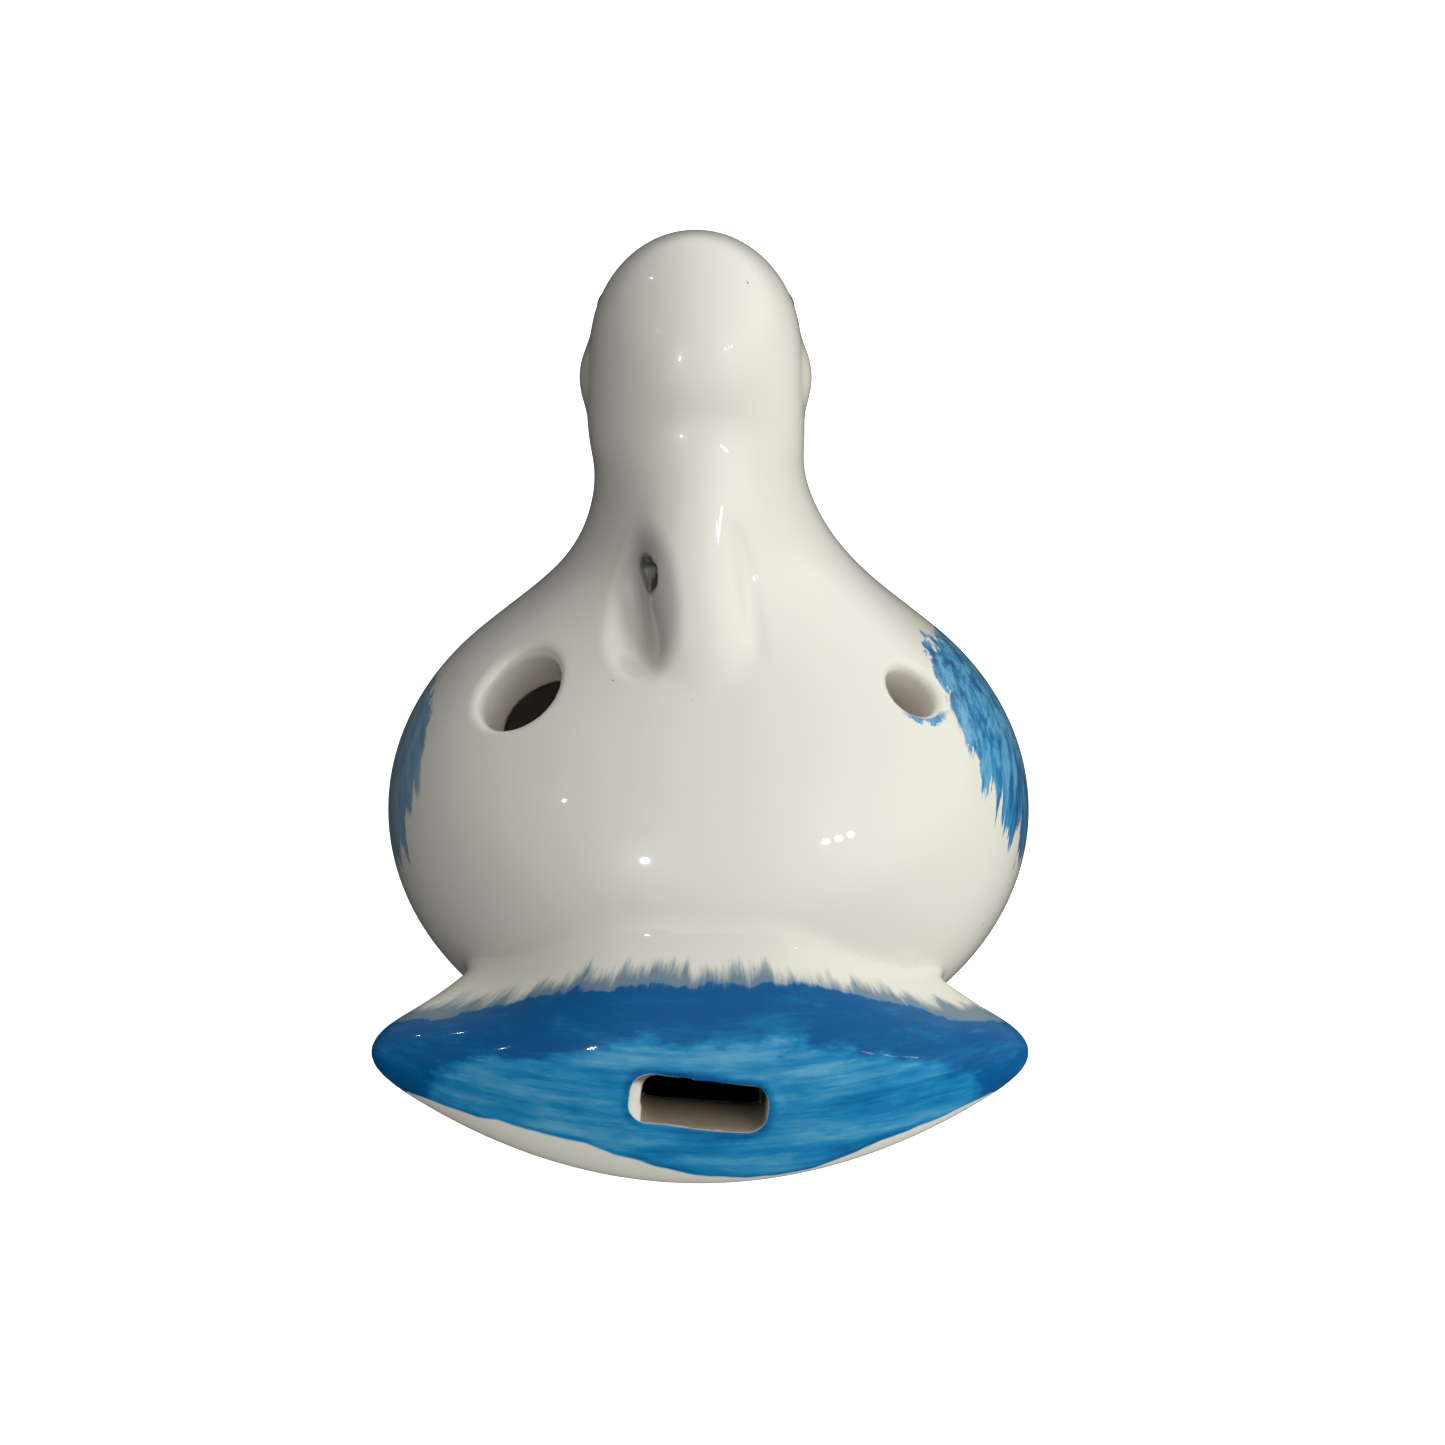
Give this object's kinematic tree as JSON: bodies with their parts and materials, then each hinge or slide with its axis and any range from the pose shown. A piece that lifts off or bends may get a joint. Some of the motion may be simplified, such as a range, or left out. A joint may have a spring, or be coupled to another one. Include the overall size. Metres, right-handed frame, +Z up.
{
  "type": "bird-shaped ocarina",
  "caption": "Hollow glazed clay dove ocarina, blown through its fan tail, with finger holes on the shoulders and a cord loop on the nape.",
  "frame": {"origin": "middle of the footprint box, at the plane the foot rests on", "axes": "+Z up, +Y the way the bird faces, -Y its tail and mouthpiece, +X the bird's right"},
  "size_m": [0.0602, 0.0748, 0.0695],
  "materials": {
    "white_glaze": "gloss",
    "blue_glaze": "gloss",
    "beak_glaze": "gloss",
    "dark_glaze": "gloss"
  },
  "bodies": {
    "root": {"belly_shell": "white_glaze", "back_shell": "white_glaze", "head_shell": "white_glaze", "tail_bottom": "blue_glaze", "tail_top": "blue_glaze", "cord_loop": "white_glaze", "beak": "beak_glaze", "eye_left": "dark_glaze", "eye_right": "dark_glaze"}
  },
  "joints": []
}
